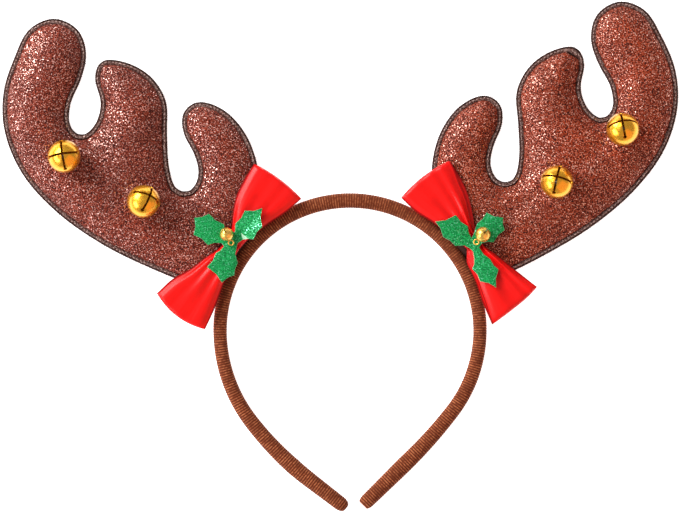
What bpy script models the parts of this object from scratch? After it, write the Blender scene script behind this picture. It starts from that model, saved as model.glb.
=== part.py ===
# Reindeer antler headband, lying on its back with its front up.
# Metres, +Z up. The origin is on the resting face, under the middle of the band's crown.
# The band lies in the XY plane: +Y is the top of the head, +X the photograph's right.

import math

import bpy
from mathutils import Matrix, Vector
from mathutils.geometry import delaunay_2d_cdt

MM = 0.001
GAP = 0.3
# The least cosine that a corner's inset is divided by, so that a sharp corner doesn't run away
SHARPEST_INSET = 0.6

# Band, in mm and degrees: from the crown down each side in arcs that turn in, then a straight leg.
# It is springy and not quite even, so its two sides differ a little
CROWN_RADIUS = 65.0
BAND_ARCS = {
    # side: rows of radius, turn
    "left": ((CROWN_RADIUS, 90.0), (74.5, 37.5), (160.0, 15.0)),
    "right": ((CROWN_RADIUS, 90.0), (66.0, 37.5), (230.0, 8.0)),
}
BAND_LEGS = {"left": 23.0, "right": 34.0}
BAND_DEPTH = 9.0
BAND_SIDES = 12
BAND_SQUARENESS = 2.5
BAND_STEP = 8.0
CROWN_CENTRE = Vector((0.0, -CROWN_RADIUS))

# How wide the band looks from the front, by the distance along it from the crown
BAND_WIDTHS = (
    # distance, width
    (0.0, 7.5),
    (60.0, 7.2),
    (105.0, 6.8),
    (135.0, 7.2),
    (160.0, 7.7),
    (182.0, 8.3),
    (212.0, 7.3),
)
TIP_HEIGHT = 0.35
TIP_ROUNDING = (
    # distance from the tip, share of the full width
    (0.0, 0.35),
    (0.5, 0.62),
    (1.6, 0.88),
    (3.4, 1.0),
)

# Antlers, in mm: two cloth faces sewn together along a flat seam, and stuffed
SEAM_HEIGHT = 5.5
SEAM_THICKNESS = 1.3
SEAM_WIDTH = 2.5
FRONT_PUFF = 6.5
SHOULDER = 15.0
THIN_AT_BASE = 0.4
THIN_REACH = 64.0
OUTLINE_STEP = 4.2
FILL_STEP = 6.5
FILL_CLEARANCE = 3.6
BASE_RADIUS = CROWN_RADIUS + BAND_WIDTHS[0][1] / 2 + GAP

# The left antler's edge, from the band up the inner tine, round all three, and back to the band
ANTLER_EDGE = (
    # x, y
    (-46.0, -14.0),
    (-45.0, 3.0),
    (-47.0, 21.0),
    (-53.5, 35.5),
    (-64.0, 46.0),
    (-76.5, 49.5),
    (-83.5, 44.0),
    (-83.5, 34.0),
    (-78.0, 23.0),
    (-75.8, 13.0),
    (-79.8, 5.0),
    (-86.5, 5.5),
    (-90.3, 16.0),
    (-91.4, 33.0),
    (-92.0, 50.0),
    (-100.0, 62.5),
    (-113.0, 69.5),
    (-124.5, 69.8),
    (-127.8, 61.5),
    (-124.7, 48.5),
    (-128.0, 37.3),
    (-134.5, 32.5),
    (-139.8, 37.0),
    (-139.8, 48.0),
    (-134.5, 60.5),
    (-131.8, 73.5),
    (-136.0, 85.5),
    (-148.0, 91.2),
    (-160.5, 85.8),
    (-168.0, 71.5),
    (-173.5, 54.0),
    (-173.0, 35.0),
    (-164.5, 14.0),
    (-147.5, -5.3),
    (-123.5, -22.3),
    (-95.0, -36.0),
    (-66.0, -47.0),
)
# The right antler is the left one turned over, a little smaller and further round the band
RIGHT_SCALE = 0.985
RIGHT_TURN = math.radians(4.9)
RIGHT_SHIFT = Vector((2.6, -1.0))

# Large jingle bells, in mm and degrees. Lean is how far, and which way, the slots face from +Z
BELL_RADIUS = 8.25
BELL_WALL = 0.8
BELL_LIFT = 0.6
SLOT_WIDTH = 1.0
SLOT_HOLE_WIDTH = 2.0
SLOT_ROWS = (14.0, 32.0, 50.0, 57.0, 63.0)
SLOT_END = 69.0
BACK_ROWS = (90.0, 115.0, 145.0)
BELL_SIDES = 16
LOOP_RADIUS = 1.4
LOOP_WIRE = 0.45
LOOP_SINK = 0.55
LOOP_SIDES = 10
LOOP_WIRE_SIDES = 5
PELLET_RADIUS = 2.2
PELLET_SIDES = 10
PELLET_RINGS = 6
BELLS = {
    # name: x, y, lean, lean_direction, slot_turn
    "left_upper": (-142.6, 22.0, 11.0, 122.0, 9.0),
    "left_lower": (-103.0, -0.5, 33.0, 42.0, 66.0),
    "right_upper": (136.1, 35.5, 31.0, 95.0, 10.0),
    "right_lower": (103.2, 9.2, 19.0, 90.0, 77.0),
}
DIMPLE_RADIUS = 7.5
DIMPLE_POINTS = 8
DIMPLE_RINGS = (0.45, 1.0)
BELL_TOUCH_SHARES = (0.0, 0.25, 0.5, 0.75)
BELL_TOUCH_POINTS = 8

# Small bells on the holly, in mm and degrees. Lean as above, so the loop points the other way
SMALL_BELLS = {
    # name: x, y, z, radius, lean, lean_direction
    "left": (-61.6, -16.9, 17.5, 3.4, 80.0, 117.0),
    "right": (66.4, -17.0, 18.0, 3.75, 80.0, 48.0),
}
SMALL_WALL = 0.4
SMALL_SLOT = 0.6
SMALL_SIDES = 12
SMALL_SLOT_ROWS = (20.0, 42.0, 56.0)
SMALL_SLOT_END = 66.0
SMALL_BACK_ROWS = (95.0, 135.0)
SMALL_LOOP_RADIUS = 1.25
SMALL_LOOP_WIRE = 0.35

# Bows, in mm and degrees: a ribbon loop to each side of the gather
RIBBON = 1.0
BOW_LOW = 8.8
BOW_HIGH = 10.7
BOW_RISE = 14.0
BOW_THICKNESS = 3.3
PLEATS = 2.0
PLEAT_DEPTH = 0.5
PLEAT_REACH = 26.0
BOW_ACROSS = 8
BOW_SHARES = (0.1, 0.25, 0.45, 0.7, 0.93)
BOWS = {
    # side: x and y of the gather
    "left": (-59.0, -21.3),
    "right": (62.0, -21.3),
}
WINGS = {
    # side: for its two wings, which way each points and how far the middle of its end bulges
    "left": ((53.5, 1.5), (233.2, 3.2)),
    "right": ((127.4, 1.8), (310.0, 1.0)),
}
WING_WIDTHS = {
    # side: for its two wings, rows of distance out, half width on its left, half width on its right
    "left": (
        ((0, 3.2, 3.2), (6, 4.8, 4.4), (12, 8.3, 6), (19, 11.8, 8.4), (28, 13.8, 12), (38.3, 14.7, 14.7)),
        ((0, 3.2, 3.2), (7, 4.6, 4), (14, 6.8, 6.4), (23, 9.6, 9), (32, 12.8, 13), (42.4, 15, 15)),
    ),
    "right": (
        ((0, 3.2, 3.2), (6, 4, 5.3), (13, 5.4, 8.8), (21, 7.6, 12.3), (30, 12.5, 14.4), (40, 15.2, 15.3)),
        ((0, 3.2, 3.2), (5, 3.2, 8.6), (11, 4.6, 10), (17, 5.8, 12), (25, 7.5, 15.6), (36.8, 10, 19.2)),
    ),
}

# Holly sprigs, in mm from the middle of each sprig: three leaves cut in one piece
LEAF_THICKNESS = 0.8
HOLLY_HEIGHT = 13.0
LEAF_SCALLOP = 0.09
SCALLOPED_LENGTH = 5.0
LEAF_LIFT_REACH = 20.0
LEAF_FILL_SHARES = (0.65, 1.15)
HOLLIES = {
    # side: x and y of the sprig's middle
    "left": (-60.0, -20.3),
    "right": (61.5, -21.5),
}
LEAF_LIFTS = {
    # side: how far each leaf's tip is bent up
    "left": (0.0, 2.9, 2.6),
    "right": (2.9, 0.4, 2.9),
}
LEAF_CORNERS = {
    # side: for each leaf, its corners from neck to neck, clockwise
    "left": (
        ((-4, -1), (-11, -2), (-18.2, 3.2), (-17.8, 11.7), (-10.5, 13.7), (-3, 8.5), (-2, 4.5)),
        ((2.5, 4.5), (2.7, 8.8), (7.5, 15.2), (16.2, 16.5), (16.2, 7), (11.7, 0.7), (6.5, 0.7), (4, -1)),
        ((3.5, -2.5), (2.7, -6.5), (4, -11), (2.3, -17), (-4, -20.8), (-11.5, -13), (-7, -6), (-3, -2.5)),
    ),
    "right": (
        ((-2, -2.2), (-4.5, -1), (-9, -1.2), (-15, 3.2), (-19, 11), (-8.7, 14.2), (-2.7, 8.7), (-0.7, 2.7)),
        ((0.7, 5.7), (2, 10), (6.7, 15.5), (15, 13), (15.8, 6.7), (10.2, 0.5), (4.5, 0.2)),
        ((3, -2), (8.5, -7.7), (12.7, -13), (11.5, -22), (3.5, -19), (-0.5, -12.7), (0.5, -7.7), (0, -4)),
    ),
}


def clear_scene():
    for thing in list(bpy.data.objects):
        bpy.data.objects.remove(thing, do_unlink=True)


def material(name, colour, roughness, metallic=0.0):
    made = bpy.data.materials.new(name)
    made.use_nodes = True
    shader = made.node_tree.nodes["Principled BSDF"]
    shader.inputs["Base Color"].default_value = (*colour, 1.0)
    shader.inputs["Roughness"].default_value = roughness
    shader.inputs["Metallic"].default_value = metallic
    return made


def add_piece(name, points, faces, finish, sharp=40.0):
    """A named object from points in mm and faces, shaded smooth up to the sharp angle."""
    mesh = bpy.data.meshes.new(name)
    mesh.from_pydata([Vector(point) * MM for point in points], [], faces)
    mesh.shade_smooth()
    mesh.set_sharp_from_angle(angle=math.radians(sharp))
    piece = bpy.data.objects.new(name, mesh)
    piece.data.materials.append(finish)
    bpy.context.scene.collection.objects.link(piece)
    return piece


def smoothstep(value):
    value = min(max(value, 0.0), 1.0)
    return value * value * (3.0 - 2.0 * value)


def read_table(rows, at, column=1):
    """The value at a distance, straight between the rows of a table."""
    for low, high in zip(rows, rows[1:]):
        if at <= high[0]:
            share = max(at - low[0], 0.0) / (high[0] - low[0])
            return low[column] + (high[column] - low[column]) * share
    return rows[-1][column]


def direction(angle):
    return Vector((math.cos(angle), math.sin(angle)))


def smooth_through(points, per_span=12):
    """A smooth open curve through the points, each end tangent taken from its neighbour."""
    ends = [points[0] * 2 - points[1], *points, points[-1] * 2 - points[-2]]
    curve = []
    for before, start, end, after in zip(ends, ends[1:], ends[2:], ends[3:]):
        knots = [0.0]
        for here, there in ((before, start), (start, end), (end, after)):
            knots.append(knots[-1] + math.sqrt((there - here).length))
        for step in range(per_span):
            at = knots[1] + (knots[2] - knots[1]) * step / per_span
            first = [
                a.lerp(b, (at - low) / (high - low))
                for a, b, low, high in zip((before, start, end), (start, end, after), knots, knots[1:])
            ]
            second = [
                first[i].lerp(first[i + 1], (at - knots[i]) / (knots[i + 2] - knots[i])) for i in (0, 1)
            ]
            curve.append(second[0].lerp(second[1], (at - knots[1]) / (knots[2] - knots[1])))
    curve.append(points[-1])
    return curve


def evenly_spaced(curve, spacing):
    """Points at equal distances along a polyline, its two ends included."""
    lengths = [0.0]
    for here, there in zip(curve, curve[1:]):
        lengths.append(lengths[-1] + (there - here).length)
    count = max(2, round(lengths[-1] / spacing))
    spaced = []
    span = 0
    for step in range(count + 1):
        at = lengths[-1] * step / count
        while span < len(curve) - 2 and lengths[span + 1] < at:
            span += 1
        share = (at - lengths[span]) / (lengths[span + 1] - lengths[span])
        spaced.append(curve[span].lerp(curve[span + 1], share))
    return spaced


def inset_ring(ring, width):
    """A closed ring of points moved inwards by the same width at every edge. The ring runs clockwise."""
    inner = []
    for i, here in enumerate(ring):
        back = (here - ring[i - 1]).normalized()
        ahead = (ring[(i + 1) % len(ring)] - here).normalized()
        normals = [Vector((edge.y, -edge.x)) for edge in (back, ahead)]
        middle = (normals[0] + normals[1]).normalized()
        inner.append(here + middle * width / max(middle.dot(normals[0]), SHARPEST_INSET))
    return inner


def distance_to_ring(point, ring):
    nearest = math.inf
    for i, start in enumerate(ring):
        edge = start - ring[i - 1]
        share = min(max((point - ring[i - 1]).dot(edge) / edge.length_squared, 0.0), 1.0)
        nearest = min(nearest, (point - ring[i - 1] - edge * share).length)
    return nearest


def inside_ring(point, ring):
    crossings = 0
    for i, here in enumerate(ring):
        before = ring[i - 1]
        if (here.y > point.y) != (before.y > point.y):
            at = before.x + (point.y - before.y) * (here.x - before.x) / (here.y - before.y)
            crossings += point.x < at
    return crossings % 2 == 1


def filled(ring, loose):
    """Triangles that fill a ring and use the loose points inside it, all facing up."""
    points = [*ring, *loose]
    edges = [(i, (i + 1) % len(ring)) for i in range(len(ring))]
    made, _, faces, sources, _, _ = delaunay_2d_cdt(points, edges, [], 1, 1e-5)
    order = [source[0] for source in sources]
    triangles = []
    for face in faces:
        corners = [made[i] for i in face]
        turn = (corners[1] - corners[0]).cross(corners[2] - corners[0])
        face = [order[i] for i in face]
        triangles.append(face if turn > 0 else face[::-1])
    return points, triangles


def facing(lean, lean_direction, slot_turn):
    """The rotation that leans +Z over towards a direction, after turning the slots."""
    hinge = direction(math.radians(lean_direction + 90))
    over = Matrix.Rotation(math.radians(lean), 4, Vector((*hinge, 0)))
    return over @ Matrix.Rotation(math.radians(slot_turn), 4, "Z")


# Headband


def band_length(side):
    return BAND_LEGS[side] + sum(radius * math.radians(turn) for radius, turn in BAND_ARCS[side])


def band_point(side, distance):
    """The band's middle line and its outward direction, at a distance down one side from the crown."""
    place = Vector((0.0, 0.0))
    heading = 0.0
    left = distance
    for radius, turn in BAND_ARCS[side]:
        swept = min(left / radius, math.radians(turn))
        centre = place + radius * direction(heading - math.pi / 2)
        place = centre + radius * direction(heading + math.pi / 2 - swept)
        heading -= swept
        left -= radius * swept
    place = place + left * direction(heading)
    outward = direction(heading + math.pi / 2)
    if side == "left":
        return Vector((-place.x, place.y)), Vector((-outward.x, outward.y))
    return place, outward


def band_section():
    """The rounded section: across the band, then up, each from -1 to 1, flat at the back and front."""
    section = []
    for i in range(BAND_SIDES):
        angle = 2 * math.pi * (i + 0.5) / BAND_SIDES
        power = 2.0 / BAND_SQUARENESS
        across = math.copysign(abs(math.cos(angle)) ** power, math.cos(angle))
        upward = math.copysign(abs(math.sin(angle)) ** power, math.sin(angle))
        section.append((across, upward))
    widest = max(across for across, _ in section)
    tallest = max(upward for _, upward in section)
    return [(across / widest, upward / tallest) for across, upward in section]


def band_stations(side):
    """Distances down one side from the crown, closer together where the tip rounds off."""
    length = band_length(side)
    body = length - TIP_ROUNDING[-1][0]
    steps = round(body / BAND_STEP)
    along = [body * i / steps for i in range(steps + 1)]
    return along + [length - distance for distance, _ in TIP_ROUNDING[-2::-1]]


def make_headband(finish):
    stations = [("left", at) for at in band_stations("left")[:0:-1]]
    stations += [("right", at) for at in band_stations("right")]
    section = band_section()
    points = []
    for side, at in stations:
        place, outward = band_point(side, at)
        share = read_table(TIP_ROUNDING, band_length(side) - at)
        width = read_table(BAND_WIDTHS, at) / 2 * share
        height = BAND_DEPTH / 2 * (TIP_HEIGHT + (1 - TIP_HEIGHT) * share)
        for across, upward in section:
            spot = place + outward * across * width
            points.append((spot.x, spot.y, BAND_DEPTH / 2 + upward * height))
    faces = []
    for ring in range(len(stations) - 1):
        for i in range(BAND_SIDES):
            j = (i + 1) % BAND_SIDES
            low, high = ring * BAND_SIDES, (ring + 1) * BAND_SIDES
            faces.append((low + i, low + j, high + j, high + i))
    last = (len(stations) - 1) * BAND_SIDES
    faces.append(tuple(range(BAND_SIDES - 1, -1, -1)))
    faces.append(tuple(range(last, last + BAND_SIDES)))
    return add_piece("headband", points, faces, finish, sharp=50.0)


# Antlers


def antler_ring(side):
    """The antler's outer edge as a closed clockwise ring, its base an arc along the band."""
    edge = [Vector(point) for point in ANTLER_EDGE]
    if side == "right":
        turn = Matrix.Rotation(RIGHT_TURN, 2) * RIGHT_SCALE
        edge = [turn @ (Vector((-p.x, p.y)) - CROWN_CENTRE) + CROWN_CENTRE + RIGHT_SHIFT for p in edge]
        edge.reverse()
    for i in (0, -1):
        edge[i] = CROWN_CENTRE + (edge[i] - CROWN_CENTRE).normalized() * BASE_RADIUS
    ring = evenly_spaced(smooth_through(edge), OUTLINE_STEP)
    ends = [math.atan2(*(p - CROWN_CENTRE).yx) for p in (ring[-1], ring[0])]
    count = round(abs(ends[1] - ends[0]) * BASE_RADIUS / OUTLINE_STEP)
    base = [
        CROWN_CENTRE + BASE_RADIUS * direction(ends[0] + (ends[1] - ends[0]) * i / count)
        for i in range(1, count)
    ]
    return [*ring, *base][::-1]


def puff(point, seam, height):
    """How far the stuffed cloth stands off the seam's plane at a point."""
    rise = 1.0 - min(distance_to_ring(point, seam) / SHOULDER, 1.0)
    from_base = (point - CROWN_CENTRE).length - BASE_RADIUS
    thin = THIN_AT_BASE + (1.0 - THIN_AT_BASE) * smoothstep(from_base / THIN_REACH)
    return height * thin * math.sqrt(max(1.0 - rise * rise, 0.0))


def antler_front(point, seam, pulled=()):
    stand = SEAM_HEIGHT + SEAM_THICKNESS / 2 + puff(point, seam, FRONT_PUFF)
    for place, depth in pulled:
        stand -= depth * smoothstep(1.0 - (point - place).length / DIMPLE_RADIUS)
    return stand


def bell_place(bell, seam):
    """The middle of a bell let down until it all but touches the cloth."""
    x, y = bell[:2]
    height = 0.0
    for share in BELL_TOUCH_SHARES:
        out = BELL_RADIUS * share
        drop = math.sqrt(BELL_RADIUS**2 - out**2)
        for step in range(BELL_TOUCH_POINTS):
            under = Vector((x, y)) + direction(2 * math.pi * step / BELL_TOUCH_POINTS) * out
            height = max(height, antler_front(under, seam) + drop)
    return Vector((x, y, height + BELL_LIFT))


def dimples(side, seam):
    """Where each sewn bell's loop pulls the cloth in: place and depth."""
    found = []
    reach = BELL_RADIUS - LOOP_SINK + 2 * (LOOP_RADIUS + LOOP_WIRE)
    for name, bell in BELLS.items():
        if name.startswith(side):
            _, _, lean, lean_direction, _ = bell
            foot = facing(lean, lean_direction, 0.0) @ Vector((0.0, 0.0, -reach)) + bell_place(bell, seam)
            depth = antler_front(foot.xy, seam) - foot.z + 2 * GAP
            found.append((foot.xy, max(depth, GAP)))
    return found


def fill_points(seam, pulled):
    """Loose points inside the seam: a triangular grid, and a few round each dimple."""
    low = Vector((min(p.x for p in seam), min(p.y for p in seam)))
    high = Vector((max(p.x for p in seam), max(p.y for p in seam)))
    row_step = FILL_STEP * math.sqrt(3) / 2
    grid = []
    for row in range(int((high.y - low.y) / row_step) + 1):
        for column in range(int((high.x - low.x) / FILL_STEP) + 1):
            grid.append(low + Vector(((column + row % 2 / 2) * FILL_STEP, row * row_step)))
    around = []
    for place, _ in pulled:
        around.append(place)
        for i in range(DIMPLE_POINTS):
            spoke = direction(2 * math.pi * i / DIMPLE_POINTS)
            around += [place + spoke * DIMPLE_RADIUS * share for share in DIMPLE_RINGS]
    kept = [
        p
        for p in grid
        if inside_ring(p, seam)
        and distance_to_ring(p, seam) > FILL_CLEARANCE
        and all((p - place).length > DIMPLE_RADIUS + FILL_CLEARANCE for place, _ in pulled)
    ]
    kept += [p for p in around if inside_ring(p, seam) and distance_to_ring(p, seam) > FILL_CLEARANCE]
    return kept


def make_antler(side, finish):
    outer = antler_ring(side)
    seam = inset_ring(outer, SEAM_WIDTH)
    pulled = dimples(side, seam)
    flat, triangles = filled(seam, fill_points(seam, pulled))
    top = SEAM_HEIGHT + SEAM_THICKNESS / 2
    under = SEAM_HEIGHT - SEAM_THICKNESS / 2
    count = len(flat)
    front = [(p.x, p.y, antler_front(p, seam, pulled)) for p in flat]
    back = [(p.x, p.y, max(under - puff(p, seam, FRONT_PUFF), 0.0)) for p in flat]
    edge = [(p.x, p.y, top) for p in outer] + [(p.x, p.y, under) for p in outer]
    faces = [tuple(face) for face in triangles]
    faces += [tuple(count + i for i in reversed(face)) for face in triangles]
    for i in range(len(outer)):
        j = (i + 1) % len(outer)
        high, low = 2 * count, 2 * count + len(outer)
        faces.append((i, j, high + j, high + i))
        faces.append((high + i, high + j, low + j, low + i))
        faces.append((low + i, low + j, count + j, count + i))
    return add_piece(f"antler_{side}", front + back + edge, faces, finish, sharp=60.0)


# Jingle bells


def bell_shell(radius, slot, slot_rows, slot_end, back_rows, sides):
    """The outer surface of a jingle bell, slots towards +Z: four petals that meet in one cup."""
    per_petal = sides // 4
    points = []
    faces = []
    petals = []

    def add(angle, azimuth):
        flat = direction(azimuth) * math.sin(angle) * radius
        points.append((flat.x, flat.y, math.cos(angle) * radius))
        return len(points) - 1

    widths = [slot] * (len(slot_rows) - 2) + [slot * SLOT_HOLE_WIDTH] * 2
    tip_angle = math.asin(slot / math.sqrt(2) / radius)
    for quarter in range(4):
        start = quarter * math.pi / 2
        rows = [[add(tip_angle, start + math.pi / 4)]]
        for degrees, width in zip(slot_rows, widths):
            angle = math.radians(degrees)
            inset = math.asin(width / 2 / (radius * math.sin(angle)))
            span = math.pi / 2 - 2 * inset
            rows.append([add(angle, start + inset + span * i / per_petal) for i in range(per_petal + 1)])
        petals.append(rows)
    rings = []
    for degrees in (slot_end, *back_rows):
        rings.append([add(math.radians(degrees), 2 * math.pi * i / sides) for i in range(sides)])
    for quarter, rows in enumerate(petals):
        join = [rings[0][(quarter * per_petal + i) % sides] for i in range(per_petal + 1)]
        rows.append(join)
        faces += [(rows[0][0], rows[1][i], rows[1][i + 1]) for i in range(per_petal)]
        for near, far in zip(rows[1:], rows[2:]):
            faces += [(near[i], far[i], far[i + 1], near[i + 1]) for i in range(per_petal)]
    for near, far in zip(rings, rings[1:]):
        for i in range(sides):
            j = (i + 1) % sides
            faces.append((near[i], far[i], far[j], near[j]))
    points.append((0.0, 0.0, -radius))
    faces += [(rings[-1][i], len(points) - 1, rings[-1][(i + 1) % sides]) for i in range(sides)]
    return points, faces


def make_bell(name, place, pose, sizes, finish):
    """A hollow slotted bell with its wire loop joined to the back."""
    radius, wall, slot, slot_rows, slot_end, back_rows, sides, loop_radius, loop_wire = sizes
    points, faces = bell_shell(radius, slot, slot_rows, slot_end, back_rows, sides)
    bell = add_piece(name, points, faces, finish)
    shell = bell.modifiers.new("wall", "SOLIDIFY")
    shell.thickness = wall * MM
    shell.offset = -1.0
    shell.use_even_offset = True
    middle = -(radius - LOOP_SINK * wall / BELL_WALL + loop_radius + loop_wire)
    bpy.ops.mesh.primitive_torus_add(
        major_radius=loop_radius * MM,
        minor_radius=loop_wire * MM,
        major_segments=LOOP_SIDES,
        minor_segments=LOOP_WIRE_SIDES,
        location=(0.0, 0.0, middle * MM),
        rotation=(math.pi / 2, 0.0, 0.0),
    )
    loop = bpy.context.object
    loop.name = f"loop_of_{name}"
    loop.hide_render = True
    loop.display_type = "WIRE"
    loop.parent = bell
    join = bell.modifiers.new("loop", "BOOLEAN")
    join.operation = "UNION"
    join.object = loop
    bell.matrix_world = Matrix.Translation(Vector(place) * MM) @ pose
    return bell


def make_bells(finish, pellet_finish):
    seams = {}
    for side in ("left", "right"):
        outer = antler_ring(side)
        seams[side] = inset_ring(outer, SEAM_WIDTH)
    sizes = (
        BELL_RADIUS,
        BELL_WALL,
        SLOT_WIDTH,
        SLOT_ROWS,
        SLOT_END,
        BACK_ROWS,
        BELL_SIDES,
        LOOP_RADIUS,
        LOOP_WIRE,
    )
    for name, (x, y, lean, lean_direction, slot_turn) in BELLS.items():
        place = bell_place((x, y), seams[name.split("_")[0]])
        make_bell(f"bell_{name}", place, facing(lean, lean_direction, slot_turn), sizes, finish)
        make_pellet(name, place, pellet_finish)


def make_pellet(name, bell_place, finish):
    """The loose ball, lying on the lowest point inside its bell."""
    drop = BELL_RADIUS - BELL_WALL - PELLET_RADIUS - 2 * GAP
    bpy.ops.mesh.primitive_uv_sphere_add(
        segments=PELLET_SIDES,
        ring_count=PELLET_RINGS,
        radius=PELLET_RADIUS * MM,
        location=(bell_place - Vector((0.0, 0.0, drop))) * MM,
    )
    pellet = bpy.context.object
    pellet.name = f"pellet_{name}"
    pellet.data.materials.append(finish)
    pellet.data.shade_smooth()


def make_small_bells(finish):
    for name, (x, y, z, radius, lean, lean_direction) in SMALL_BELLS.items():
        sizes = (
            radius,
            SMALL_WALL,
            SMALL_SLOT,
            SMALL_SLOT_ROWS,
            SMALL_SLOT_END,
            SMALL_BACK_ROWS,
            SMALL_SIDES,
            SMALL_LOOP_RADIUS,
            SMALL_LOOP_WIRE,
        )
        # A quarter turn past the lean lays the loop flat on the holly
        pose = facing(lean, lean_direction, lean_direction + 90)
        make_bell(f"small_bell_{name}", (x, y, z), pose, sizes, finish)


# Bows


def bow_stations(first, second):
    """Round the ribbon's loop: over and back under one wing, then under and over the other."""
    stations = [(0, 0.0, "front")]
    stations += [(0, first * share, "front") for share in BOW_SHARES]
    stations.append((0, first, "fold"))
    stations += [(0, first * share, "back") for share in reversed(BOW_SHARES)]
    stations.append((0, 0.0, "back"))
    stations += [(1, second * share, "back") for share in BOW_SHARES]
    stations.append((1, second, "fold"))
    stations += [(1, second * share, "front") for share in reversed(BOW_SHARES)]
    return stations


def bow_height(out, across, layer, inner):
    """Height of the ribbon's outer or inner face. Its pleats run from the gather and fade outwards."""
    low = BOW_LOW + (BOW_HIGH - BOW_LOW) * smoothstep(out / BOW_RISE)
    fade = 1 - smoothstep(out / PLEAT_REACH)
    pleat = PLEAT_DEPTH * fade * (1 - math.cos(across * math.pi * PLEATS)) / 2
    if layer == "front":
        return low + BOW_THICKNESS - pleat - RIBBON * inner
    if layer == "back":
        return low + RIBBON * inner
    return low + BOW_THICKNESS / 2


def make_bow(name, finish):
    """A flat ribbon loop to each side, drawn together in pleats in the middle."""
    widths = WING_WIDTHS[name]
    stations = bow_stations(widths[0][-1][0], widths[1][-1][0])
    points = []
    for inner in (0, 1):
        for number, out, layer in stations:
            angle, bulge = WINGS[name][number]
            rows = widths[number]
            ahead = direction(math.radians(angle))
            left = Vector((-ahead.y, ahead.x))
            for i in range(BOW_ACROSS + 1):
                across = (2 * i / BOW_ACROSS - 1) * (1 if number == 0 else -1)
                half = read_table(rows, out, 1 if across > 0 else 2)
                reach = out + bulge * (out / rows[-1][0]) * (1 - across * across)
                reach -= RIBBON * inner if layer == "fold" else 0.0
                spot = Vector(BOWS[name]) + ahead * reach + left * across * half
                points.append((spot.x, spot.y, bow_height(out, across, layer, inner)))
    row = BOW_ACROSS + 1
    inside = len(stations) * row
    faces = []
    for station in range(len(stations)):
        here = station * row
        there = (station + 1) % len(stations) * row
        for i in range(BOW_ACROSS):
            faces.append((here + i, there + i, there + i + 1, here + i + 1))
            near, far = inside + here + i, inside + there + i
            faces.append((near + 1, far + 1, far, near))
        faces.append((inside + here, inside + there, there, here))
        here += BOW_ACROSS
        there += BOW_ACROSS
        faces.append((here, there, inside + there, inside + here))
    return add_piece(f"bow_{name}", points, faces, finish, sharp=60.0)


# Holly


def leaf_edge(corners):
    """A leaf's edge from neck to neck, each side between two spikes hollowed a little."""
    edge = []
    for start, end in zip(corners, corners[1:]):
        start, end = Vector(start), Vector(end)
        inward = Vector((end.y - start.y, start.x - end.x)) * LEAF_SCALLOP
        edge.append(start)
        if (end - start).length > SCALLOPED_LENGTH:
            edge.append((start + end) / 2 + inward)
    edge.append(Vector(corners[-1]))
    return edge


def make_holly(name, finish):
    """Three leaves cut from one card, their tips bent up a little."""
    x, y = HOLLIES[name]
    leaves = list(zip(LEAF_LIFTS[name], LEAF_CORNERS[name]))
    ring = []
    lifts = []
    for lift, corners in leaves:
        edge = leaf_edge(corners)
        ring += edge
        lifts += [(point, lift) for point in edge]
    middles = []
    for lift, corners in leaves:
        centre = sum((Vector(corner) for corner in corners), Vector((0, 0))) / len(corners)
        for share in LEAF_FILL_SHARES:
            middles.append(centre * share)
            lifts.append((centre * share, lift))
    middles.append(Vector((0, 0)))
    lifts.append((Vector((0, 0)), 0.0))
    flat, triangles = filled(ring, middles)
    front = []
    back = []
    for point, lift in lifts:
        height = HOLLY_HEIGHT + lift * point.length / LEAF_LIFT_REACH
        back.append((x + point.x, y + point.y, height))
        front.append((x + point.x, y + point.y, height + LEAF_THICKNESS))
    count = len(flat)
    faces = [tuple(face) for face in triangles]
    faces += [tuple(count + i for i in reversed(face)) for face in triangles]
    for i in range(len(ring)):
        j = (i + 1) % len(ring)
        faces.append((i, j, count + j, count + i))
    return add_piece(f"holly_{name}", front + back, faces, finish, sharp=30.0)


def main():
    clear_scene()
    make_headband(material("band_cover", (0.105, 0.042, 0.020), 0.85))
    for side in ("left", "right"):
        make_antler(side, material(f"glitter_cloth_{side}", (0.125, 0.045, 0.032), 0.55))
        make_bow(side, material(f"satin_{side}", (0.72, 0.012, 0.012), 0.35))
        make_holly(side, material(f"holly_card_{side}", (0.015, 0.26, 0.085), 0.45))
    steel = material("steel", (0.5, 0.48, 0.45), 0.4, 1.0)
    make_bells(material("gilt", (0.83, 0.56, 0.10), 0.18, 1.0), steel)
    make_small_bells(material("pale_gilt", (0.86, 0.66, 0.25), 0.2, 1.0))


main()
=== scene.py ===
"""The look of a costume headband with padded reindeer antlers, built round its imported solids."""

import math
import random

import bmesh
import bpy
from mathutils import Matrix, Vector, noise
from mathutils.kdtree import KDTree


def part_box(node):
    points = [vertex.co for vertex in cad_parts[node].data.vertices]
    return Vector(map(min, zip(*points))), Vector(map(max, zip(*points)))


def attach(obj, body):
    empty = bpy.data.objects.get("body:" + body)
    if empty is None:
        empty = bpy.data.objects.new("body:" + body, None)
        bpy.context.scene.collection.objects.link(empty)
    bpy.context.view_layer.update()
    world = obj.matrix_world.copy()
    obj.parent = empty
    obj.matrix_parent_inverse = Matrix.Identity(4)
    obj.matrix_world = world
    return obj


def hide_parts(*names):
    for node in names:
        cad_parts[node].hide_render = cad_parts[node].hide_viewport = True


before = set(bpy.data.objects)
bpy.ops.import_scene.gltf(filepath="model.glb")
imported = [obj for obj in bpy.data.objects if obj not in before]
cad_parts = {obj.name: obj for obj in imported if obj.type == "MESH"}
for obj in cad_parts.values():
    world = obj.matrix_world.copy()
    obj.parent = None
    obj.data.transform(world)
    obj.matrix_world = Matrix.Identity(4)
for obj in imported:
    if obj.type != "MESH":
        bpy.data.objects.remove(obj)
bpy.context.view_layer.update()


# Headband
# A springy plastic hoop in a tube of brown ribbed knit. The tube is drawn on, so its ribs run
# across the band and round its two ends.

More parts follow.
